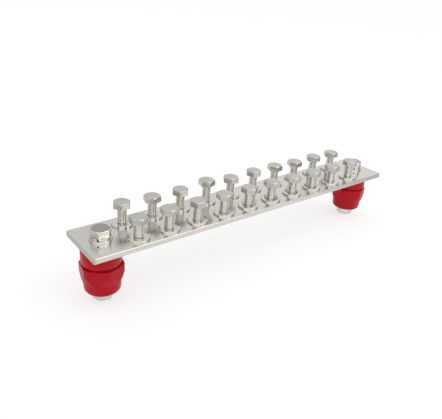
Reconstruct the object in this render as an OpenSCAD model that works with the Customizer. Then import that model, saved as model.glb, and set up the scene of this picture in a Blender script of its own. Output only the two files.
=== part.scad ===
// Earth terminal bar: a tinned copper bar on two moulded standoffs, with two
// rows of hexagon-head terminal screws. Millimetres, Z up. The origin is on
// the surface that the bar stands on, under its middle, with X along the bar.

/* [Bar] */
// Length of the bar
bar_len = 434; // [430:1:500]
// Width of the bar
bar_w = 65; // [63:1:80]
// Thickness of the bar
bar_t = 6; // [5:0.5:8]
// Radius of the bar's corners, seen from above
bar_corner_r = 3; // [1:0.5:6]
// Radius along the bar's edges
bar_edge_r = 1; // [0.3:0.1:1.5]

/* [Terminals] */
// Most screws in each of the two rows; a short bar holds fewer
terminals = 10; // [2:1:10]
// Distance from one screw to the next along a row
pitch = 36; // [28:0.5:37]
// Distance between the two rows
row_gap = 34; // [27:0.5:36]
// Least distance along the bar from a standoff bolt to the nearest screws
end_room = 20; // [18:0.5:28]
// Height from the bar to the underside of each head in the back row
back_lift = [19.5, 18, 18, 21.5, 18, 19.5, 19.5, 18.5, 19.5, 19];
// Height from the bar to the underside of each head in the front row
front_lift = [17.5, 18.5, 18.5, 18.5, 18, 18, 17, 17, 17.5, 18];
// Turn of each head in the back row, in degrees
back_turn = [0, 15, 55, 20, 57, 52, 5, 5, 55, 55];
// Turn of each head in the front row, in degrees
front_turn = [22, 18, 55, 20, 32, 0, 8, 8, 0, 20];

/* [Screws and bolts] */
// Thread diameter of the terminal screws
screw_d = 10; // [8:0.5:11]
// Thread diameter of the standoff bolts and the base bolts
bolt_d = 12; // [10:0.5:13]
// Distance across the flats of a terminal screw's head
head_af = 17; // [16:0.5:19]
// Distance across the flats of a bolt's head
bolt_head_af = 19; // [17:0.5:20]
// Height of a terminal screw's head
head_h = 6.4; // [5:0.1:8]
// Height of a bolt's head
bolt_head_h = 7.5; // [6:0.1:9]
// Width of the chamfer round the top of a head, from the middle of a flat
head_edge = 0.5; // [0.2:0.1:1.5]
// Length of a terminal screw under its head
terminal_screw_len = 25; // [24:1:30]
// Length of a standoff bolt under its head
standoff_bolt_len = 25; // [20:1:30]
// Length of a base bolt under its head
base_bolt_len = 20; // [12:1:22]
// Chamfer at the tip of a thread
tip_chamfer = 1; // [0.5:0.1:1.5]
// Turn of the left and the right standoff bolt's head, in degrees
standoff_bolt_turn = [55, 20];
// Turn of the left and the right base bolt's head, in degrees
base_bolt_turn = [51, 12];

/* [Washers] */
// Outer diameter of a flat washer
washer_d = 24; // [22:0.5:26]
// Thickness of a flat washer
washer_t = 2; // [1.5:0.1:2.5]
// Chamfer round a flat washer's upper edge
washer_edge = 0.3; // [0.1:0.1:0.5]
// Outer diameter of a spring washer
spring_d = 21; // [19:0.1:23]
// Thickness of a spring washer
spring_t = 2.5; // [1.8:0.1:3]
// Width of the split in a spring washer
split_w = 1.6; // [1:0.1:3]
// Slant of the split, in degrees
split_slant = 20; // [0:1:30]
// Direction of the split round the bolt, in degrees
split_turn = 230; // [0:1:359]

/* [Standoffs] */
// Distance from the bar's end to the middle of its standoff
standoff_inset = 22.5; // [21:0.5:24]
// Height of a standoff
standoff_h = 52.5; // [49.5:0.5:70]
// Diameter of the neck, the round part above the belt
neck_d = 41.4; // [38:0.2:41.8]
// Height of the hexagonal belt above the standoff's base
belt_z = 14.5; // [8:0.5:16.5]
// Height of the hexagonal belt
belt_h = 17.5; // [15:0.5:24]
// Distance across the belt's flats
belt_af = 42; // [41.6:0.2:43]
// Diameter to which the belt's corners are turned
belt_d = 46; // [44.5:0.5:48]
// Diameter of the belt's corners at its top, inside their slope
belt_top_d = 44; // [42.4:0.2:44.4]
// Height of the slope on the belt's corners at its top
belt_top_slope = 1.5; // [0.5:0.1:3]
// Diameter of the belt at its bottom, inside the slope
belt_low_d = 41.6; // [40:0.2:42]
// Height of the slope on the belt's corners at its bottom
belt_low_slope = 8; // [4:0.5:12]
// Height of the groove between the belt and the neck
relief_h = 2; // [1:0.25:3]
// Diameter at the bottom of that groove
relief_d = 37; // [34:0.5:37.5]
// Diameter of the foot, where it meets the belt
foot_top_d = 39.2; // [38:0.2:40]
// Diameter of the foot at the base
foot_d = 37.4; // [35:0.2:38]
// Radius of the edge round the base
foot_edge_r = 4.5; // [2:0.5:6]
// Radius of the edge round the top
neck_edge_r = 1; // [0.5:0.1:2]
// Turn of the belt, in degrees
belt_turn = 21; // [0:1:59]

/* [Inserts] */
// Diameter of a threaded insert
insert_d = 18; // [17:0.5:20]
// Free depth of thread beyond the end of a bolt
insert_room = 0.7; // [0.3:0.1:2]
// Thickness of an insert's closed end
insert_floor = 1.5; // [1:0.1:2.5]
// Width of the groove that holds an insert in the moulding
groove_w = 5; // [3:0.5:8]
// Depth of that groove
groove_depth = 1; // [0.5:0.1:1.2]

/* [Fits] */
// Radial gap between a thread and its tapped hole
thread_gap = 0.1; // [0.05:0.01:0.15]
// Radial gap between a bolt and a plain hole that it passes through
bolt_gap = 0.5; // [0.3:0.05:0.8]
// Radial gap between a thread and the washer round it
washer_gap = 0.4; // [0.2:0.05:0.8]
// Gap between an insert and the moulding round it
insert_gap = 0.02; // [0.01:0.01:0.05]

/* [Hidden] */
$fn = 64;
cut = 1;                       // how far a cut runs past the face it opens
rows = ["back", "front"];
ends = ["left", "right"];
standoff_x = bar_len / 2 - standoff_inset;
per_row = min(terminals, 1 + floor(2 * (standoff_x - end_room) / pitch));

// Heights, from the surface that the base bolts' heads stand on.
base_washer_z = bolt_head_h;
standoff_z = base_washer_z + spring_t;
neck_z = belt_z + belt_h + relief_h;
bar_z = standoff_z + standoff_h;
bar_top = bar_z + bar_t;
bolt_spring_z = bar_top + washer_t;
bolt_head_z = bolt_spring_z + spring_t;

// Inserts: one thread depth serves the longer reach of the two bolts.
standoff_reach = standoff_bolt_len - spring_t - washer_t - bar_t;
base_reach = base_bolt_len - spring_t;
insert_thread = max(standoff_reach, base_reach) + insert_room;
insert_len = insert_thread + insert_floor;

tapped_d = screw_d + 2 * thread_gap;
bolt_tapped_d = bolt_d + 2 * thread_gap;
washer_hole_d = screw_d + 2 * washer_gap;
bolt_washer_hole_d = bolt_d + 2 * washer_gap;

tin = [0.80, 0.79, 0.76];
nickel = [0.74, 0.73, 0.70];
steel = [0.66, 0.66, 0.65];
red = [0.70, 0.10, 0.14];
brass = [0.80, 0.66, 0.36];

// Places and heights of the pieces that repeat.
function terminal_x(i) = (i - (per_row + 1) / 2) * pitch;
function row_y(row) = row == "back" ? row_gap / 2 : -row_gap / 2;
function lift(row, i) = row == "back" ? back_lift[i - 1] : front_lift[i - 1];
function turn(row, i) = row == "back" ? back_turn[i - 1] : front_turn[i - 1];
function end_x(end) = end == "left" ? -standoff_x : standoff_x;
function end_value(end, values) = end == "left" ? values[0] : values[1];

// A rectangle about the origin with true arcs at its corners.
module rounded_rect(w, h, r) {
    square([w - 2 * r, h], center = true);
    square([w, h - 2 * r], center = true);
    for (x = [-1, 1], y = [-1, 1])
        translate([x * (w / 2 - r), y * (h / 2 - r)]) circle(r);
}

// A hexagon head, chamfered at its top, with its underside at z = 0.
module hex_head(af, h) {
    corner_r = af / 2 / cos(30);
    reach = corner_r + cut;
    flat_r = af / 2 - head_edge;
    intersection() {
        cylinder(r = corner_r, h = h, $fn = 6);
        rotate_extrude()
            polygon([
                [0, 0], [reach, 0],
                [reach, h - (reach - flat_r) * tan(30)],
                [flat_r, h], [0, h]]);
    }
}

// A hexagon-head screw threaded to its head. Its seat is at z = 0 and its
// thread runs down.
module hex_screw(d, length, af, h) {
    r = d / 2;
    hex_head(af, h);
    rotate_extrude()
        polygon([
            [0, -length], [r - tip_chamfer, -length],
            [r, -length + tip_chamfer], [r, h / 2], [0, h / 2]]);
}

// A flat washer that lies on z = 0.
module flat_washer(hole_d) {
    hole_r = hole_d / 2;
    rotate_extrude()
        polygon([
            [hole_r, 0], [washer_d / 2, 0],
            [washer_d / 2, washer_t - washer_edge],
            [washer_d / 2 - washer_edge, washer_t], [hole_r, washer_t]]);
}

// A square-section spring washer on z = 0, split along a slanted cut.
module spring_washer() {
    difference() {
        cylinder(d = spring_d, h = spring_t);
        translate([0, 0, -cut]) cylinder(d = bolt_washer_hole_d, h = spring_t + 2 * cut);
        rotate(split_turn)
            translate([spring_d / 2, 0, spring_t / 2])
                rotate([split_slant, 0, 0])
                    cube([spring_d, split_w, 4 * spring_t], center = true);
    }
}

// The outline of an insert from its mouth at z = 0 inwards, grown by a gap.
module insert_solid(gap, mouth) {
    r = insert_d / 2 + gap;
    groove_r = insert_d / 2 - groove_depth + gap;
    groove_low = (insert_len - groove_w) / 2 + gap;
    groove_high = (insert_len + groove_w) / 2 - gap;
    rotate_extrude()
        polygon([
            [0, -mouth], [r, -mouth], [r, groove_low], [groove_r, groove_low],
            [groove_r, groove_high], [r, groove_high],
            [r, insert_len + gap], [0, insert_len + gap]]);
}

// A grooved insert with a blind tapped hole, its mouth facing down at z = 0.
module insert() {
    difference() {
        insert_solid(0, 0);
        translate([0, 0, -cut]) cylinder(d = bolt_tapped_d, h = insert_thread + cut);
    }
}

// The standoff's round parts: the foot under the belt, the neck over it and the
// thinner core that joins them.
module standoff_turning() {
    foot_r = foot_d / 2;
    lean = atan((foot_top_d - foot_d) / 2 / belt_z);
    run = foot_edge_r / tan((90 + lean) / 2);
    neck_r = neck_d / 2;
    rotate_extrude() {
        polygon([
            [0, 0], [foot_r - run, 0],
            [foot_r + run * sin(lean), run * cos(lean)],
            [foot_top_d / 2, belt_z], [0, belt_z]]);
        translate([foot_r - run, foot_edge_r]) circle(foot_edge_r);
        translate([0, belt_z])
            square([relief_d / 2, neck_z - belt_z + cut]);
        translate([0, neck_z])
            square([neck_r, standoff_h - neck_z - neck_edge_r]);
        translate([0, standoff_h - 2 * neck_edge_r])
            square([neck_r - neck_edge_r, 2 * neck_edge_r]);
        translate([neck_r - neck_edge_r, standoff_h - neck_edge_r])
            circle(neck_edge_r);
    }
}

// The hexagonal belt round a standoff, its corners turned off and sloped.
module standoff_belt() {
    r = belt_d / 2;
    translate([0, 0, belt_z])
        intersection() {
            rotate(belt_turn) cylinder(d = belt_af / cos(30), h = belt_h, $fn = 6);
            rotate_extrude()
                polygon([
                    [0, 0], [belt_low_d / 2, 0], [r, belt_low_slope],
                    [r, belt_h - belt_top_slope], [belt_top_d / 2, belt_h], [0, belt_h]]);
        }
}

module bar() {
    color(tin)
        difference() {
            translate([0, 0, bar_z + bar_t / 2])
                intersection() {
                    linear_extrude(height = bar_t + 2 * cut, center = true)
                        rounded_rect(bar_len, bar_w, bar_corner_r);
                    rotate([90, 0, 90])
                        linear_extrude(height = bar_len + 2 * cut, center = true)
                            rounded_rect(bar_w, bar_t, bar_edge_r);
                    rotate([90, 0, 0])
                        linear_extrude(height = bar_w + 2 * cut, center = true)
                            rounded_rect(bar_len, bar_t, bar_edge_r);
                }
            for (row = rows, i = [1 : per_row])
                translate([terminal_x(i), row_y(row), bar_z - cut])
                    cylinder(d = tapped_d, h = bar_t + 2 * cut);
            for (end = ends)
                translate([end_x(end), 0, bar_z - cut])
                    cylinder(d = bolt_d + 2 * bolt_gap, h = bar_t + 2 * cut);
        }
}

module terminal_screw(row, i) {
    color(nickel)
        translate([terminal_x(i), row_y(row), bar_top + lift(row, i)])
            rotate(turn(row, i)) hex_screw(screw_d, terminal_screw_len, head_af, head_h);
}

module terminal_washer(row, i) {
    color(nickel)
        translate([terminal_x(i), row_y(row), bar_top]) flat_washer(washer_hole_d);
}

module insulator(end) {
    color(red)
        translate([end_x(end), 0, standoff_z])
            difference() {
                union() {
                    standoff_turning();
                    standoff_belt();
                }
                insert_solid(insert_gap, cut);
                translate([0, 0, standoff_h]) mirror([0, 0, 1]) insert_solid(insert_gap, cut);
            }
}

module upper_insert(end) {
    color(brass)
        translate([end_x(end), 0, bar_z]) mirror([0, 0, 1]) insert();
}

module lower_insert(end) {
    color(brass)
        translate([end_x(end), 0, standoff_z]) insert();
}

module standoff_bolt(end) {
    color(nickel)
        translate([end_x(end), 0, bolt_head_z])
            rotate(end_value(end, standoff_bolt_turn))
                hex_screw(bolt_d, standoff_bolt_len, bolt_head_af, bolt_head_h);
}

module bolt_spring_washer(end) {
    color(nickel)
        translate([end_x(end), 0, bolt_spring_z]) spring_washer();
}

module bolt_flat_washer(end) {
    color(nickel)
        translate([end_x(end), 0, bar_top]) flat_washer(bolt_washer_hole_d);
}

module base_bolt(end) {
    color(steel)
        translate([end_x(end), 0, base_washer_z])
            rotate(end_value(end, base_bolt_turn))
                mirror([0, 0, 1])
                    hex_screw(bolt_d, base_bolt_len, bolt_head_af, bolt_head_h);
}

module base_spring_washer(end) {
    color(steel)
        translate([end_x(end), 0, base_washer_z]) spring_washer();
}

bar();
for (row = rows, i = [1 : per_row]) {
    terminal_screw(row, i);
    terminal_washer(row, i);
}
for (end = ends) {
    insulator(end);
    upper_insert(end);
    lower_insert(end);
    standoff_bolt(end);
    bolt_spring_washer(end);
    bolt_flat_washer(end);
    base_bolt(end);
    base_spring_washer(end);
}
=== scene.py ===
import bmesh
import bpy
import math
from mathutils import Matrix, Vector


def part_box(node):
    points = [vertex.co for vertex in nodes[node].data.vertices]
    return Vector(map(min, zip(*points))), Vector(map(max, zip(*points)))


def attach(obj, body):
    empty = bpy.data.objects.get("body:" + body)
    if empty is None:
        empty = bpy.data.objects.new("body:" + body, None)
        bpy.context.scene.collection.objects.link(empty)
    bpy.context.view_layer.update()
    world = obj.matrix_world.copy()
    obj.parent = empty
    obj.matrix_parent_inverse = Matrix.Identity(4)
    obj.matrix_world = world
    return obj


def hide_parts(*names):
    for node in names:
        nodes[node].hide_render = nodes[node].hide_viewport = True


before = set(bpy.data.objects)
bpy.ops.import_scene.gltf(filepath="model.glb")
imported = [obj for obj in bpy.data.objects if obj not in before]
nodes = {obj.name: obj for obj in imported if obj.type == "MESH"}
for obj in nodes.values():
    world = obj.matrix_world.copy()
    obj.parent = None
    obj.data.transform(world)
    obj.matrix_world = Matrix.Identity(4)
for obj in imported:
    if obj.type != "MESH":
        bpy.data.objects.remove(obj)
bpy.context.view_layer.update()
mm = 0.001
body = "root"
print("frame loaded:", len(nodes), "nodes")


# the camera stands left of the bar's front and looks down along it
cameraValues = {
    "place": (-0.3768, -0.3975, 0.3191),
    "look": (0.5756, 0.6871, -0.4433),
    "right": (0.7864, -0.6137, 0.0700),
    "lens": 40.6,
    "sensor": 36.0,
}


def makeCamera(values):
    data = bpy.data.cameras.new("camera")
    data.lens = values["lens"]
    data.sensor_width = values["sensor"]
    data.clip_start = 0.01
    data.clip_end = 50
    camera = bpy.data.objects.new("camera", data)
    bpy.context.scene.collection.objects.link(camera)
    back = -Vector(values["look"]).normalized()
    right = Vector(values["right"]).normalized()
    up = back.cross(right).normalized()
    right = up.cross(back)
    turn = Matrix((right, up, back)).transposed()
    camera.matrix_world = Matrix.Translation(values["place"]) @ turn.to_4x4()
    bpy.context.scene.camera = camera


makeCamera(cameraValues)


# small helpers for node trees
def link(tree, source, target):
    tree.links.new(source, target)


def put(tree, kind, **settings):
    node = tree.nodes.new(kind)
    for name, value in settings.items():
        setattr(node, name, value)
    return node


def feed(tree, socket, value):
    # a socket takes another node's output, or a plain value
    if isinstance(value, bpy.types.NodeSocket):
        tree.links.new(value, socket)
    else:
        socket.default_value = value


def calc(tree, operation, a, b=None, c=None, kind="ShaderNodeMath"):
    node = put(tree, kind, operation=operation)
    for i, value in enumerate((a, b, c)):
        if value is not None:
            feed(tree, node.inputs[i], value)
    return node.outputs[0]


# shader effects that more than one material uses
def newGroup(name, inputs, outputs):
    group = bpy.data.node_groups.new(name, "ShaderNodeTree")
    for label, kind, value in inputs:
        socket = group.interface.new_socket(label, in_out="INPUT", socket_type=kind)
        if value is not None:
            socket.default_value = value
    for label, kind in outputs:
        group.interface.new_socket(label, in_out="OUTPUT", socket_type=kind)
    return group, put(group, "NodeGroupInput"), put(group, "NodeGroupOutput")


def noise(tree, vector, scale, detail=3.0, rough=0.5):
    node = put(tree, "ShaderNodeTexNoise")
    feed(tree, node.inputs["Vector"], vector)
    feed(tree, node.inputs["Scale"], scale)
    node.inputs["Detail"].default_value = detail
    node.inputs["Roughness"].default_value = rough
    return node.outputs["Fac"]


def spread(tree, value, low, high, outLow, outHigh):
    node = put(tree, "ShaderNodeMapRange")
    for socket, v in zip(("Value", "From Min", "From Max", "To Min", "To Max"),
                         (value, low, high, outLow, outHigh)):
        feed(tree, node.inputs[socket], v)
    return node.outputs["Result"]


def blendColour(tree, amount, a, b):
    node = put(tree, "ShaderNodeMix", data_type="RGBA")
    feed(tree, node.inputs[0], amount)
    feed(tree, node.inputs[6], a)
    feed(tree, node.inputs[7], b)
    return node.outputs[2]


skinValues = {
    "cloudFrom": 0.35, "cloudTo": 0.7, "cloudShare": 0.55,
    "speckFrom": 0.62, "speckTo": 0.75, "speckShare": 0.6,
}


def platedSkinGroup(v):
    # plated metal: clouding in the plating, fine grain and a few dull specks
    group, inp, out = newGroup("platedSkin", [
        ("Vector", "NodeSocketVector", None),
        ("Bright", "NodeSocketColor", (0.7, 0.7, 0.7, 1)),
        ("Dull", "NodeSocketColor", (0.5, 0.5, 0.5, 1)),
        ("Cloud Scale", "NodeSocketFloat", 60.0),
        ("Grain Scale", "NodeSocketFloat", 900.0),
        ("Smooth Roughness", "NodeSocketFloat", 0.15),
        ("Dull Roughness", "NodeSocketFloat", 0.35),
    ], [("Colour", "NodeSocketColor"), ("Roughness", "NodeSocketFloat"),
        ("Height", "NodeSocketFloat")])
    vector = inp.outputs["Vector"]
    cloud = noise(group, vector, inp.outputs["Cloud Scale"], detail=4.0, rough=0.6)
    grain = noise(group, vector, inp.outputs["Grain Scale"], detail=2.0, rough=0.6)
    cloudy = spread(group, cloud, v["cloudFrom"], v["cloudTo"], 0.0, 1.0)
    specks = spread(group, grain, v["speckFrom"], v["speckTo"], 0.0, v["speckShare"])
    dullness = calc(group, "MAXIMUM", calc(group, "MULTIPLY", cloudy, v["cloudShare"]), specks)
    colour = blendColour(group, dullness, inp.outputs["Bright"], inp.outputs["Dull"])
    rough = spread(group, dullness, 0.0, 1.0, inp.outputs["Smooth Roughness"],
                   inp.outputs["Dull Roughness"])
    link(group, colour, out.inputs["Colour"])
    link(group, rough, out.inputs["Roughness"])
    link(group, grain, out.inputs["Height"])
    return group


platedSkin = platedSkinGroup(skinValues)


def newMaterial(name):
    material = bpy.data.materials.new(name)
    material.use_nodes = True
    tree = material.node_tree
    tree.nodes.clear()
    shader = put(tree, "ShaderNodeBsdfPrincipled")
    output = put(tree, "ShaderNodeOutputMaterial")
    link(tree, shader.outputs[0], output.inputs[0])
    coords = put(tree, "ShaderNodeTexCoord").outputs["Object"]
    return material, tree, shader, coords


def bump(tree, height, strength, distance):
    node = put(tree, "ShaderNodeBump")
    node.inputs["Strength"].default_value = strength
    node.inputs["Distance"].default_value = distance
    link(tree, height, node.inputs["Height"])
    return node.outputs[0]


def facing(tree, axis):
    # how far a face is turned along one of the object's axes
    parts = put(tree, "ShaderNodeSeparateXYZ")
    link(tree, put(tree, "ShaderNodeTexCoord").outputs["Normal"], parts.inputs[0])
    return parts.outputs[axis]


def platedMaterial(name, v):
    material, tree, shader, coords = newMaterial(name)
    skin = put(tree, "ShaderNodeGroup", node_tree=platedSkin)
    feed(tree, skin.inputs["Vector"], coords)
    for socket, key in (("Bright", "bright"), ("Dull", "dull"), ("Cloud Scale", "cloud"),
                        ("Grain Scale", "grain"), ("Smooth Roughness", "smooth"),
                        ("Dull Roughness", "rough")):
        skin.inputs[socket].default_value = v[key]
    shader.inputs["Metallic"].default_value = 1.0
    height = skin.outputs["Height"]
    rough = skin.outputs["Roughness"]
    if "streak" in v:
        # drawing marks along the length
        mapping = put(tree, "ShaderNodeMapping")
        mapping.inputs["Scale"].default_value = v["streak"]
        link(tree, coords, mapping.inputs["Vector"])
        streaks = noise(tree, mapping.outputs[0], 1.0, detail=3.0, rough=0.7)
        height = calc(tree, "ADD", calc(tree, "MULTIPLY", height, v["grainShare"]), streaks)
        marks = spread(tree, streaks, v["streakFrom"], v["streakTo"], 0.0, 1.0)
        rough = calc(tree, "MULTIPLY_ADD", marks, v["streakRoughness"], rough)
    colour = skin.outputs["Colour"]
    if "sawn" in v:
        # the sawn ends are duller than the rolled faces
        endways = calc(tree, "ABSOLUTE", facing(tree, "X"))
        ends = spread(tree, endways, v["sawnFrom"], v["sawnTo"], 0.0, 1.0)
        colour = blendColour(tree, ends, colour, v["sawn"])
        rough = calc(tree, "MULTIPLY_ADD", ends, v["sawnRoughness"], rough)
    if "paintedTopShade" in v:
        # painted shade: the top is coloured darker than the sides, standing in for the dimmer
        # light on it
        top = spread(tree, facing(tree, "Z"), v["topFrom"], v["topTo"], 0.0, 1.0)
        colour = blendColour(tree, top, colour, v["paintedTopShade"])
    link(tree, colour, shader.inputs["Base Color"])
    link(tree, rough, shader.inputs["Roughness"])
    link(tree, bump(tree, height, v["bump"], v["bumpDepth"]), shader.inputs["Normal"])
    return material


tinValues = {
    "bright": (0.76, 0.745, 0.69, 1), "dull": (0.67, 0.655, 0.605, 1),
    "cloud": 28.0, "grain": 700.0, "smooth": 0.12, "rough": 0.19,
    "streak": (30.0, 900.0, 900.0), "streakFrom": 0.35, "streakTo": 0.65,
    "streakRoughness": 0.04, "grainShare": 0.4,
    "sawn": (0.62, 0.61, 0.58, 1), "sawnRoughness": 0.18, "sawnFrom": 0.75, "sawnTo": 0.95,
    "bump": 0.10, "bumpDepth": 0.00003,
}
# head and thread are one plating in two colours: the thread's lighter colour is painted light,
# standing in for the brighter shank
headPlateValues = {
    "bright": (0.63, 0.617, 0.587, 1), "dull": (0.53, 0.517, 0.492, 1),
    "cloud": 120.0, "grain": 1500.0, "smooth": 0.26, "rough": 0.40,
    "bump": 0.22, "bumpDepth": 0.00003,
}
threadPlateValues = {
    "bright": (0.82, 0.81, 0.77, 1), "dull": (0.69, 0.68, 0.645, 1),
    "cloud": 160.0, "grain": 1500.0, "smooth": 0.16, "rough": 0.28,
    "bump": 0.15, "bumpDepth": 0.00003,
}
washerValues = {
    "bright": (0.76, 0.745, 0.71, 1), "dull": (0.60, 0.588, 0.56, 1),
    "cloud": 90.0, "grain": 1200.0, "smooth": 0.09, "rough": 0.20,
    "bump": 0.2, "bumpDepth": 0.00003,
}
boltValues = {
    "bright": (0.78, 0.77, 0.74, 1), "dull": (0.62, 0.61, 0.58, 1),
    "cloud": 80.0, "grain": 1100.0, "smooth": 0.14, "rough": 0.28,
    "bump": 0.2, "bumpDepth": 0.00003,
    # painted shade: a darker colour on the faces that look upwards
    "paintedTopShade": (0.40, 0.393, 0.375, 1), "topFrom": 0.9, "topTo": 0.98,
}
baseValues = {
    "bright": (0.78, 0.75, 0.715, 1), "dull": (0.64, 0.61, 0.58, 1),
    "cloud": 100.0, "grain": 1300.0, "smooth": 0.28, "rough": 0.45,
    "bump": 0.25, "bumpDepth": 0.00003,
}
brassValues = {
    "bright": (0.80, 0.62, 0.30, 1), "dull": (0.58, 0.44, 0.22, 1),
    "cloud": 90.0, "grain": 900.0, "smooth": 0.22, "rough": 0.40,
    "bump": 0.2, "bumpDepth": 0.00003,
}
tinPlate = platedMaterial("tinPlate", tinValues)
headPlate = platedMaterial("headPlate", headPlateValues)
threadPlate = platedMaterial("threadPlate", threadPlateValues)
washerPlate = platedMaterial("washerPlate", washerValues)
boltPlate = platedMaterial("boltPlate", boltValues)
basePlate = platedMaterial("basePlate", baseValues)
brassMetal = platedMaterial("brassMetal", brassValues)

mouldingValues = {
    "colour": (0.45, 0.004, 0.013, 1), "pale": (0.50, 0.009, 0.021, 1),
    "cloud": 45.0, "grain": 1400.0, "roughness": 0.24, "roughSpread": 0.10,
    "cloudFrom": 0.35, "roughFrom": 0.3, "cloudTo": 0.7,
    "gloss": 0.15, "bump": 0.08, "bumpDepth": 0.00008,
}


def redMoulding(v):
    material, tree, shader, coords = newMaterial("redMoulding")
    shader.inputs["Specular IOR Level"].default_value = v["gloss"]
    cloud = noise(tree, coords, v["cloud"], detail=5.0, rough=0.6)
    grain = noise(tree, coords, v["grain"], detail=2.0, rough=0.5)
    amount = spread(tree, cloud, v["cloudFrom"], v["cloudTo"], 0.0, 1.0)
    link(tree, blendColour(tree, amount, v["colour"], v["pale"]), shader.inputs["Base Color"])
    rough = spread(tree, cloud, v["roughFrom"], v["cloudTo"], v["roughness"],
                   v["roughness"] + v["roughSpread"])
    link(tree, rough, shader.inputs["Roughness"])
    link(tree, bump(tree, grain, v["bump"], v["bumpDepth"]), shader.inputs["Normal"])
    return material


mouldingRed = redMoulding(mouldingValues)
print("materials made")


# mesh helpers
def finishMesh(name, mesh, material, nodeNames, sharpAngle):
    if material:
        mesh.materials.clear()
        mesh.materials.append(material)
    mesh.set_sharp_from_angle(angle=math.radians(sharpAngle))
    for polygon in mesh.polygons:
        polygon.use_smooth = True
    piece = bpy.data.objects.new(name, mesh)
    bpy.context.scene.collection.objects.link(piece)
    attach(piece, body)
    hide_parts(*nodeNames)


def ringMesh(name, rings):
    # rings of equal length, from one end to the other; a ring of one point is a pole
    bm = bmesh.new()
    made = [[bm.verts.new(p) for p in ring] for ring in rings]
    for low, high in zip(made, made[1:]):
        n = max(len(low), len(high))
        for i in range(n):
            j = (i + 1) % n
            corners = [low[i % len(low)], low[j % len(low)],
                       high[j % len(high)], high[i % len(high)]]
            corners = list(dict.fromkeys(corners))
            bm.faces.new(corners)
    bmesh.ops.remove_doubles(bm, verts=bm.verts, dist=1e-7)
    bmesh.ops.recalc_face_normals(bm, faces=bm.faces)
    mesh = bpy.data.meshes.new(name)
    bm.to_mesh(mesh)
    bm.free()
    return mesh


def turned(profile, place, steps=96):
    # rings from (radius, height) pairs, turned about a vertical axis
    rings = []
    for r, z in profile:
        if r < 1e-9:
            rings.append([(place[0], place[1], place[2] + z)])
        else:
            rings.append([(place[0] + r * math.cos(2 * math.pi * i / steps),
                           place[1] + r * math.sin(2 * math.pi * i / steps),
                           place[2] + z) for i in range(steps)])
    return rings


def corner(x, z, r, start, end, steps=4):
    # points of a small round from one angle to another, in degrees
    out = []
    for i in range(steps + 1):
        a = math.radians(start + (end - start) * i / steps)
        out.append((x + r * math.cos(a), z + r * math.sin(a)))
    return out


def middle(node):
    low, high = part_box(node)
    return (low + high) / 2, low, high


def headTurn(node, centre):
    # the head's corners are the points furthest from its axis
    far, angle = 0, 0
    for v in nodes[node].data.vertices:
        dx, dy = v.co.x - centre.x, v.co.y - centre.y
        if dx * dx + dy * dy > far + 1e-10:
            far, angle = dx * dx + dy * dy, math.atan2(dy, dx)
    return angle


# hexagon heads and threads
headValues = {
    "round": 0.45 * mm, "edge": 0.5 * mm, "underRound": 0.25 * mm, "chamfer": math.radians(30),
    "chamferEdge": 0.1 * mm, "topEdge": 0.12 * mm, "flatSteps": 9, "cornerSteps": 4,
    "sharp": 30,
}
# the thread's depth is a share of its pitch
threadValues = {"depth": 0.61, "tipChamfer": 1.0 * mm, "segments": 40, "inHead": 1.0 * mm}
# a small edge goes through one point, this share of the way in
softShare = 0.3


def hexRadius(angle, flats, rounding):
    # outline of a hexagon with rounded corners; corners at multiples of 60 degrees
    a = flats / 2
    fromCorner = (angle + math.pi / 6) % (math.pi / 3) - math.pi / 6
    toFlat = math.pi / 6 - abs(fromCorner)
    reach = math.atan((a - rounding) * math.tan(math.pi / 6) / a)
    if toFlat <= reach:
        return a / math.cos(toFlat)
    c = (a - rounding) / math.cos(math.pi / 6)
    return c * math.cos(fromCorner) + math.sqrt(
        max(rounding ** 2 - (c * math.sin(fromCorner)) ** 2, 0))


def hexAngles(flats, v):
    a = flats / 2
    reach = math.atan((a - v["round"]) * math.tan(math.pi / 6) / a)
    half = math.pi / 6 - reach
    out = []
    for k in range(6):
        base = k * math.pi / 3
        out += [base - half + 2 * half * i / v["cornerSteps"] for i in range(v["cornerSteps"])]
        span = math.pi / 3 - 2 * half
        out += [base + half + span * i / v["flatSteps"] for i in range(v["flatSteps"])]
    return out


def hexHead(name, flats, height, v):
    # seat at z = 0, chamfered top, softly rounded corners
    angles = hexAngles(flats, v)
    flatR = flats / 2 - v["edge"]
    slope = math.tan(v["chamfer"])
    under, edge, topEdge = v["underRound"], v["chamferEdge"], v["topEdge"]

    def ring(radius, z):
        return [(radius(a) * math.cos(a), radius(a) * math.sin(a), z(a)) for a in angles]

    def side(a):
        return hexRadius(a, flats, v["round"])

    def top(a):
        return height - (side(a) - flatR) * slope

    rings = [[(0, 0, 0)],
             ring(lambda a: side(a) - under, lambda a: 0),
             ring(lambda a: side(a) - under * softShare, lambda a: under * softShare),
             ring(side, lambda a: under),
             ring(side, lambda a: top(a) - edge),
             ring(lambda a: side(a) - edge, top),
             ring(lambda a: flatR + topEdge, lambda a: height - topEdge * slope),
             ring(lambda a: flatR, lambda a: height),
             [(0, 0, height)]]
    return ringMesh(name, rings)


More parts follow.
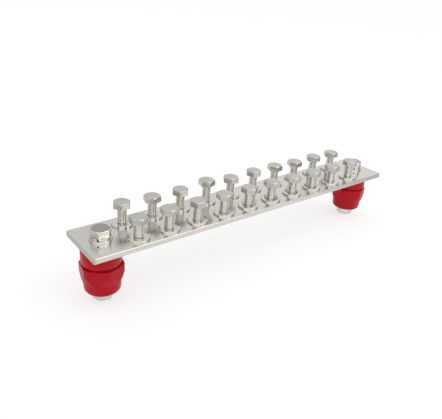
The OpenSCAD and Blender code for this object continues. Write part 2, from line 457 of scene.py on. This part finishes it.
def threadTree():
    # adds a thread of given sizes under a head that has its seat at z = 0
    tree = bpy.data.node_groups.new("cutThread", "GeometryNodeTree")
    tree.is_modifier = True
    face = tree.interface
    face.new_socket("Geometry", in_out="INPUT", socket_type="NodeSocketGeometry")
    for label, kind, value in (("Diameter", "NodeSocketFloat", 0.010),
                               ("Pitch", "NodeSocketFloat", 0.0015),
                               ("Length", "NodeSocketFloat", 0.025),
                               ("Depth", "NodeSocketFloat", 0.0009),
                               ("Tip Chamfer", "NodeSocketFloat", 0.001),
                               ("In Head", "NodeSocketFloat", 0.001),
                               ("Segments", "NodeSocketInt", 40),
                               ("Head Material", "NodeSocketMaterial", None),
                               ("Thread Material", "NodeSocketMaterial", None)):
        socket = face.new_socket(label, in_out="INPUT", socket_type=kind)
        if value is not None:
            socket.default_value = value
    face.new_socket("Geometry", in_out="OUTPUT", socket_type="NodeSocketGeometry")
    inp = put(tree, "NodeGroupInput").outputs
    out = put(tree, "NodeGroupOutput")

    def m(operation, a, b=None, c=None):
        return calc(tree, operation, a, b, c)

    pitch, length = inp["Pitch"], inp["Length"]
    reach = m("ADD", length, inp["In Head"])
    turns = m("ADD", m("CEIL", m("DIVIDE", reach, pitch)), 2.0)
    rows = m("ADD", m("MULTIPLY", turns, 4.0), 1.0)
    grid = put(tree, "GeometryNodeMeshGrid")
    grid.inputs["Size X"].default_value = 1.0
    grid.inputs["Size Y"].default_value = 1.0
    link(tree, m("ADD", inp["Segments"], 1.0), grid.inputs["Vertices X"])
    link(tree, rows, grid.inputs["Vertices Y"])

    place = put(tree, "ShaderNodeSeparateXYZ")
    link(tree, put(tree, "GeometryNodeInputPosition").outputs[0], place.inputs[0])
    u = m("ADD", place.outputs["X"], 0.5)
    v = m("ADD", place.outputs["Y"], 0.5)
    angle = m("MULTIPLY", u, 2 * math.pi)
    along = m("MULTIPLY", v, turns)
    rise = m("MULTIPLY", m("ADD", along, m("SUBTRACT", u, 1.0)), pitch)
    raw = m("SUBTRACT", rise, length)
    z = m("MINIMUM", m("MAXIMUM", raw, m("MULTIPLY", length, -1.0)), inp["In Head"])
    # four rows a turn: two in the root, two on the crest
    phase = m("FRACT", m("ADD", along, 0.125))
    wave = m("ABSOLUTE", m("MULTIPLY_ADD", phase, 2.0, -1.0))
    cutIn = put(tree, "ShaderNodeMapRange")
    for socket, value in (("Value", wave), ("From Min", 0.25), ("From Max", 0.75)):
        feed(tree, cutIn.inputs[socket], value)
    radius = m("MULTIPLY", inp["Diameter"], 0.5)
    root = m("SUBTRACT", radius, inp["Depth"])
    cut = m("SUBTRACT", radius, m("MULTIPLY", cutIn.outputs["Result"], inp["Depth"]))
    tip = m("SUBTRACT", radius, inp["Tip Chamfer"])
    cone = m("ADD", tip, m("ADD", z, length))
    cut = m("MINIMUM", cut, cone)
    inside = m("GREATER_THAN", raw, m("SUBTRACT", inp["In Head"], 1e-6))
    r = m("MULTIPLY_ADD", inside, m("SUBTRACT", m("MINIMUM", root, cone), cut), cut)
    point = put(tree, "ShaderNodeCombineXYZ")
    link(tree, m("MULTIPLY", r, m("COSINE", angle)), point.inputs["X"])
    link(tree, m("MULTIPLY", r, m("SINE", angle)), point.inputs["Y"])
    link(tree, z, point.inputs["Z"])
    shaped = put(tree, "GeometryNodeSetPosition")
    link(tree, grid.outputs["Mesh"], shaped.inputs["Geometry"])
    link(tree, point.outputs[0], shaped.inputs["Position"])

    def cap(capRadius, height, flip):
        disc = put(tree, "GeometryNodeMeshCircle", fill_type="NGON")
        link(tree, inp["Segments"], disc.inputs["Vertices"])
        link(tree, capRadius, disc.inputs["Radius"])
        move = put(tree, "GeometryNodeTransform")
        lift = put(tree, "ShaderNodeCombineXYZ")
        link(tree, height, lift.inputs["Z"])
        link(tree, disc.outputs["Mesh"], move.inputs["Geometry"])
        link(tree, lift.outputs[0], move.inputs["Translation"])
        if not flip:
            return move.outputs[0]
        flipped = put(tree, "GeometryNodeFlipFaces")
        link(tree, move.outputs[0], flipped.inputs["Mesh"])
        return flipped.outputs[0]

    join = put(tree, "GeometryNodeJoinGeometry")
    link(tree, cap(tip, m("MULTIPLY", length, -1.0), True), join.inputs[0])
    link(tree, cap(root, inp["In Head"], False), join.inputs[0])
    link(tree, shaped.outputs[0], join.inputs[0])
    weld = put(tree, "GeometryNodeMergeByDistance")
    weld.inputs["Distance"].default_value = 2e-6
    link(tree, join.outputs[0], weld.inputs[0])
    both = put(tree, "GeometryNodeJoinGeometry")
    link(tree, inp["Geometry"], both.inputs[0])
    link(tree, weld.outputs[0], both.inputs[0])
    real = put(tree, "GeometryNodeRealizeInstances")
    link(tree, both.outputs[0], real.inputs[0])
    coat = put(tree, "GeometryNodeSetMaterial")
    link(tree, real.outputs[0], coat.inputs["Geometry"])
    link(tree, inp["Head Material"], coat.inputs["Material"])
    # what lies under the seat is thread
    height = put(tree, "ShaderNodeSeparateXYZ")
    link(tree, put(tree, "GeometryNodeInputPosition").outputs[0], height.inputs[0])
    threadCoat = put(tree, "GeometryNodeSetMaterial")
    link(tree, coat.outputs[0], threadCoat.inputs["Geometry"])
    link(tree, m("LESS_THAN", height.outputs["Z"], -1e-5), threadCoat.inputs["Selection"])
    link(tree, inp["Thread Material"], threadCoat.inputs["Material"])
    link(tree, threadCoat.outputs[0], out.inputs[0])
    return tree


cutThread = threadTree()


def setInput(modifier, tree, label, value):
    for item in tree.interface.items_tree:
        if item.in_out == "INPUT" and item.name == label:
            modifier[item.identifier] = value


def threadedScrew(name, node, diameter, pitch, flats, headHeight, finish, slot, headDown=False):
    centre, low, high = middle(node)
    turn = headTurn(node, centre)
    length = high.z - low.z - headHeight
    head = bpy.data.objects.new(name + "Making", hexHead(name, flats, headHeight, headValues))
    bpy.context.scene.collection.objects.link(head)
    modifier = head.modifiers.new("thread", "NODES")
    modifier.node_group = cutThread
    for label, value in (("Diameter", diameter), ("Pitch", pitch), ("Length", length),
                         ("Depth", threadValues["depth"] * pitch),
                         ("Tip Chamfer", threadValues["tipChamfer"]),
                         ("In Head", threadValues["inHead"]),
                         ("Segments", threadValues["segments"]),
                         ("Head Material", finish[0]), ("Thread Material", finish[1])):
        setInput(modifier, cutThread, label, value)
    bpy.context.view_layer.update()
    ready = head.evaluated_get(bpy.context.evaluated_depsgraph_get())
    mesh = bpy.data.meshes.new_from_object(ready)
    bpy.data.objects.remove(head)
    if headDown:
        seat = Matrix.Translation((centre.x, centre.y, low.z + headHeight))
        mesh.transform(seat @ Matrix.Rotation(turn, 4, "Z") @ Matrix.Rotation(math.pi, 4, "X"))
    else:
        seat = Matrix.Translation((centre.x, centre.y, high.z - headHeight))
        mesh.transform(seat @ Matrix.Rotation(turn, 4, "Z"))
    finishMesh(name, mesh, None, [node], headValues["sharp"])


screwSizes = {"diameter": 10 * mm, "pitch": 1.5 * mm, "flats": 17 * mm, "headHeight": 6.4 * mm}
boltSizes = {"diameter": 12 * mm, "pitch": 1.75 * mm, "flats": 19 * mm, "headHeight": 7.5 * mm}

for node in sorted(nodes):
    if "_screw_" in node:
        threadedScrew("threaded_" + node, node, finish=(headPlate, threadPlate),
                      slot="plated_screw", **screwSizes)
for end in ("left", "right"):
    threadedScrew("threaded_" + end + "_standoff_bolt", end + "_standoff_bolt",
                  finish=(boltPlate, threadPlate), slot="plated_screw", **boltSizes)
    threadedScrew("threaded_" + end + "_base_bolt", end + "_base_bolt",
                  finish=(basePlate, basePlate), slot="plated_screw", headDown=True,
                  **boltSizes)
print("screws and bolts made")


# washers
washerSizes = {"topRound": 0.45 * mm, "lowRound": 0.15 * mm, "holeRound": 0.15 * mm,
               "sharp": 60}


def holeRadius(node, centre):
    near = 1.0
    for v in nodes[node].data.vertices:
        near = min(near, math.hypot(v.co.x - centre.x, v.co.y - centre.y))
    return near


def flatWasher(name, node, v):
    centre, low, high = middle(node)
    outer = (high.x - low.x) / 2
    hole = holeRadius(node, centre)
    t = high.z - low.z
    profile = (corner(outer - v["lowRound"], v["lowRound"], v["lowRound"], -90, 0)
               + corner(outer - v["topRound"], t - v["topRound"], v["topRound"], 0, 90)
               + corner(hole + v["holeRound"], t - v["holeRound"], v["holeRound"], 90, 180)
               + corner(hole + v["holeRound"], v["holeRound"], v["holeRound"], 180, 270))
    profile.append(profile[0])
    mesh = ringMesh(name, turned(profile, (centre.x, centre.y, low.z)))
    finishMesh(name, mesh, washerPlate, [node], v["sharp"])


for node in sorted(nodes):
    if "_washer_" in node or node.endswith("flat_washer"):
        flatWasher("rounded_" + node, node, washerSizes)


springSizes = {"split": 1.6 * mm, "slant": math.radians(20), "round": 0.5 * mm, "steps": 90,
               "splitTurn": math.radians(230), "sharp": 45}


def springWasher(name, node, material, v):
    centre, low, high = middle(node)
    outer = (high.x - low.x) / 2
    hole = holeRadius(node, centre)
    t = high.z - low.z
    r = v["round"]
    section = (corner(outer - r, r, r, -90, 0) + corner(outer - r, t - r, r, 0, 90)
               + corner(hole + r, t - r, r, 90, 180) + corner(hole + r, r, r, 180, 270))
    rings = []
    for i in range(v["steps"] + 1):
        ring = []
        for x, z in section:
            # the split runs slanted through the section
            shift = -(z - t / 2) * math.tan(v["slant"])
            half = math.asin(v["split"] / 2 / math.cos(v["slant"]) / x)
            lean = math.asin(max(-1, min(1, shift / x)))
            start = v["splitTurn"] + half + lean
            span = 2 * math.pi - 2 * half
            a = start + span * i / v["steps"]
            ring.append((centre.x + x * math.cos(a), centre.y + x * math.sin(a), low.z + z))
        rings.append(ring)
    bm = bmesh.new()
    made = [[bm.verts.new(p) for p in ring] for ring in rings]
    n = len(section)
    for a, b in zip(made, made[1:]):
        for i in range(n):
            bm.faces.new((a[i], a[(i + 1) % n], b[(i + 1) % n], b[i]))
    bm.faces.new(made[0])
    bm.faces.new(made[-1])
    bmesh.ops.remove_doubles(bm, verts=bm.verts, dist=1e-7)
    bmesh.ops.recalc_face_normals(bm, faces=bm.faces)
    mesh = bpy.data.meshes.new(name)
    bm.to_mesh(mesh)
    bm.free()
    finishMesh(name, mesh, material, [node], v["sharp"])


for end in ("left", "right"):
    springWasher("rounded_" + end + "_spring_washer", end + "_spring_washer", boltPlate,
                 springSizes)
    springWasher("rounded_" + end + "_base_spring_washer", end + "_base_spring_washer",
                 basePlate, springSizes)
print("washers made")


# moulded standoffs
standoffSizes = {
    "footR": 18.7 * mm, "footTopR": 19.6 * mm, "footRound": 4.5 * mm,
    "beltLow": 14.5 * mm, "beltHigh": 32.0 * mm, "beltFlats": 42.0 * mm, "beltR": 23.0 * mm,
    "beltLowR": 20.8 * mm, "beltLowSlope": 8.0 * mm, "beltTopR": 22.0 * mm,
    "beltTopSlope": 1.5 * mm, "beltTurn": math.radians(21), "beltSoft": 0.35 * mm,
    "grooveR": 18.5 * mm, "grooveHeight": 2.0 * mm, "neckR": 20.7 * mm, "neckRound": 1.0 * mm,
    "small": 0.25 * mm, "pocketR": 9.02 * mm, "pocketDepth": 19.72 * mm, "steps": 240,
    "beltRows": 28, "sharp": 25,
}


def standoff(name, node, v):
    centre, low, high = middle(node)
    height = high.z - low.z
    angles = [2 * math.pi * i / v["steps"] for i in range(v["steps"])]
    beltLow, beltHigh, small = v["beltLow"], v["beltHigh"], v["small"]
    neckLow = beltHigh + v["grooveHeight"]

    def beltR(a, z):
        # the hexagon's flats, or its turned corners where they reach less far
        up = z - beltLow
        down = beltHigh - z
        limit = v["beltR"]
        if up < v["beltLowSlope"]:
            limit = v["beltLowR"] + (v["beltR"] - v["beltLowR"]) * up / v["beltLowSlope"]
        if down < v["beltTopSlope"]:
            limit = v["beltTopR"] + (v["beltR"] - v["beltTopR"]) * down / v["beltTopSlope"]
        flat = hexRadius(a - v["beltTurn"], v["beltFlats"], 0.0)
        h = max(v["beltSoft"] - abs(flat - limit), 0) / v["beltSoft"]
        return min(flat, limit) - h * h * v["beltSoft"] / 4

    def ring(radius, z):
        if not callable(radius):
            return [(centre.x + radius * math.cos(a), centre.y + radius * math.sin(a),
                     low.z + z) for a in angles]
        return [(centre.x + radius(a) * math.cos(a), centre.y + radius(a) * math.sin(a),
                 low.z + z) for a in angles]

    rings = [[(centre.x, centre.y, low.z + v["pocketDepth"])],
             ring(v["pocketR"], v["pocketDepth"]), ring(v["pocketR"], 0)]
    # foot, with a large round at its base
    lean = math.atan((v["footTopR"] - v["footR"]) / beltLow)
    run = v["footRound"] / math.tan((math.pi / 2 + lean) / 2)
    for x, z in corner(v["footR"] - run, v["footRound"], v["footRound"], -90,
                       -math.degrees(lean), 12):
        rings.append(ring(x, z))
    rings += [ring(v["footTopR"] - small * 0.1, beltLow - small),
              ring(v["footTopR"] + small * softShare, beltLow - small * softShare),
              ring(lambda a: beltR(a, beltLow) - small, beltLow),
              ring(lambda a: beltR(a, beltLow + small * softShare) - small * softShare,
                   beltLow + small * softShare),
              ring(lambda a: beltR(a, beltLow + small), beltLow + small)]
    # belt, in rings close enough to carry the slopes on its corners
    rows = v["beltRows"]
    span = beltHigh - beltLow - 2 * small
    for i in range(1, rows):
        z = beltLow + small + span * i / rows
        rings.append(ring(lambda a, z=z: beltR(a, z), z))
    rings += [ring(lambda a: beltR(a, beltHigh - small), beltHigh - small),
              ring(lambda a: beltR(a, beltHigh - small * softShare) - small * softShare,
                   beltHigh - small * softShare),
              ring(lambda a: beltR(a, beltHigh) - small, beltHigh)]
    # groove, then the neck up to its rounded edge
    rings += [ring(v["grooveR"] + small, beltHigh), ring(v["grooveR"], beltHigh + small),
              ring(v["grooveR"], neckLow - small), ring(v["grooveR"] + small, neckLow),
              ring(v["neckR"] - small, neckLow),
              ring(v["neckR"] - small * softShare, neckLow + small * softShare),
              ring(v["neckR"], neckLow + small)]
    for x, z in corner(v["neckR"] - v["neckRound"], height - v["neckRound"], v["neckRound"],
                       0, 90, 5):
        rings.append(ring(x, z))
    rings += [ring(v["pocketR"], height), ring(v["pocketR"], height - v["pocketDepth"]),
              [(centre.x, centre.y, low.z + height - v["pocketDepth"])]]
    mesh = ringMesh(name, rings)
    finishMesh(name, mesh, mouldingRed, [node], v["sharp"])


for end in ("left", "right"):
    standoff("moulded_" + end + "_insulator", end + "_insulator", standoffSizes)
print("standoffs made")


# finishes on the CAD nodes that stay
def dress(node, material):
    slots = nodes[node].material_slots
    if not slots:
        nodes[node].data.materials.append(material)
    for s in slots:
        s.material = material


dress("bar", tinPlate)
for end in ("left", "right"):
    for level in ("upper", "lower"):
        dress(end + "_" + level + "_insert", brassMetal)


# floor, light and world
studioValues = {
    "floorColour": (0.90, 0.90, 0.90, 1), "floorSize": 12.0,
    "seenGlow": 0.63, "seenShade": 0.46,  # white that the camera adds to the floor's own shading
    "mirrorMiddle": 0.90, "mirrorEnds": 0.56, "mirrorShade": 0.25,  # the floor as metal shows it
    "mirrorFrom": 0.19, "mirrorTo": 0.30,
    "worldFill": 0.86, "worldSides": 0.58, "worldFront": 0.78, "worldBack": 0.38,
    "worldTop": 0.25, "topFrom": 0.35, "topTo": 0.95,
    "frontAzimuth": 240.0, "frontNarrow": 1.0, "backAzimuth": 24.0, "backNarrow": 3.0,
    "worldGap": 0.45, "gapAzimuth": 343.0, "gapNarrow": 5.0,  # a darker stretch on the right
    "keyPlace": (0.85, -1.0, 1.75), "keyTarget": (0, 0, 0.05), "keySize": 1.7,
    "keyPower": 8.5,
}


def rayKinds(tree):
    path = put(tree, "ShaderNodeLightPath")
    mirrored = calc(tree, "MAXIMUM", path.outputs["Is Glossy Ray"],
                    path.outputs["Is Transmission Ray"])
    return path.outputs["Is Camera Ray"], mirrored


def choose(tree, camera, mirrored, seen, mirror, other):
    # one value for what the camera sees, one for reflections and one for the rest
    level = calc(tree, "MULTIPLY_ADD", mirrored,
                 calc(tree, "SUBTRACT", mirror, other), other)
    return calc(tree, "MULTIPLY_ADD", camera, calc(tree, "SUBTRACT", seen, level), level)


def makeFloor(v):
    bpy.ops.mesh.primitive_plane_add(size=v["floorSize"], location=(0, 0, 0))
    floor = bpy.context.object
    floor.name = "floor"
    material = bpy.data.materials.new("paleFloor")
    material.use_nodes = True
    tree = material.node_tree
    tree.nodes.clear()
    camera, mirrored = rayKinds(tree)
    place = put(tree, "ShaderNodeSeparateXYZ")
    link(tree, put(tree, "ShaderNodeTexCoord").outputs["Object"], place.inputs[0])
    mirrorGlow = spread(tree, calc(tree, "ABSOLUTE", place.outputs["X"]), v["mirrorFrom"],
                        v["mirrorTo"], v["mirrorMiddle"], v["mirrorEnds"])
    mirrorGlow = calc(tree, "MULTIPLY", mirrorGlow, 1 - v["mirrorShade"])
    matt = put(tree, "ShaderNodeBsdfDiffuse")
    shade = choose(tree, camera, mirrored, v["seenShade"], v["mirrorShade"], 1.0)
    dim = put(tree, "ShaderNodeVectorMath", operation="SCALE")
    dim.inputs[0].default_value = v["floorColour"][:3]
    link(tree, shade, dim.inputs["Scale"])
    link(tree, dim.outputs[0], matt.inputs["Color"])
    glow = put(tree, "ShaderNodeEmission")
    link(tree, choose(tree, camera, mirrored, v["seenGlow"], mirrorGlow, 0.0),
         glow.inputs["Strength"])
    both = put(tree, "ShaderNodeAddShader")
    link(tree, matt.outputs[0], both.inputs[0])
    link(tree, glow.outputs[0], both.inputs[1])
    output = put(tree, "ShaderNodeOutputMaterial")
    link(tree, both.outputs[0], output.inputs[0])
    floor.data.materials.append(material)


def lobe(tree, direction, azimuth, narrow):
    # how far a direction leans to one side of the studio, from 0 to 1
    a = math.radians(azimuth)
    dot = put(tree, "ShaderNodeVectorMath", operation="DOT_PRODUCT")
    link(tree, direction, dot.inputs[0])
    dot.inputs[1].default_value = (math.cos(a), math.sin(a), 0)
    return calc(tree, "POWER", calc(tree, "MAXIMUM", dot.outputs["Value"], 0.0), narrow)


def makeWorld(v):
    world = bpy.data.worlds.new("studio")
    bpy.context.scene.world = world
    world.use_nodes = True
    tree = world.node_tree
    tree.nodes.clear()
    camera, mirrored = rayKinds(tree)
    direction = put(tree, "ShaderNodeTexCoord").outputs["Generated"]
    up = put(tree, "ShaderNodeSeparateXYZ")
    link(tree, direction, up.inputs[0])
    level = v["worldSides"]
    for side, amount in (("front", v["worldFront"]), ("back", v["worldBack"]),
                         ("gap", -v["worldGap"])):
        part = lobe(tree, direction, v[side + "Azimuth"], v[side + "Narrow"])
        level = calc(tree, "MULTIPLY_ADD", part, amount, level)
    overhead = spread(tree, up.outputs["Z"], v["topFrom"], v["topTo"], 0.0, v["worldTop"])
    level = calc(tree, "ADD", level, overhead)
    sky = put(tree, "ShaderNodeBackground")
    sky.inputs["Color"].default_value = (1, 1, 1, 1)
    link(tree, choose(tree, camera, mirrored, 1.0, level, v["worldFill"]),
         sky.inputs["Strength"])
    output = put(tree, "ShaderNodeOutputWorld")
    link(tree, sky.outputs[0], output.inputs[0])


def makeLamp(name, place, target, size, power):
    data = bpy.data.lights.new(name, "AREA")
    data.energy = power
    data.size = size
    lamp = bpy.data.objects.new(name, data)
    bpy.context.scene.collection.objects.link(lamp)
    direction = Vector(target) - Vector(place)
    lamp.rotation_mode = "QUATERNION"
    lamp.rotation_quaternion = direction.to_track_quat("-Z", "Y")
    lamp.location = place


makeFloor(studioValues)
makeWorld(studioValues)
makeLamp("key", studioValues["keyPlace"], studioValues["keyTarget"],
         studioValues["keySize"], studioValues["keyPower"])
bpy.context.scene.view_settings.view_transform = "Standard"
print("studio made")
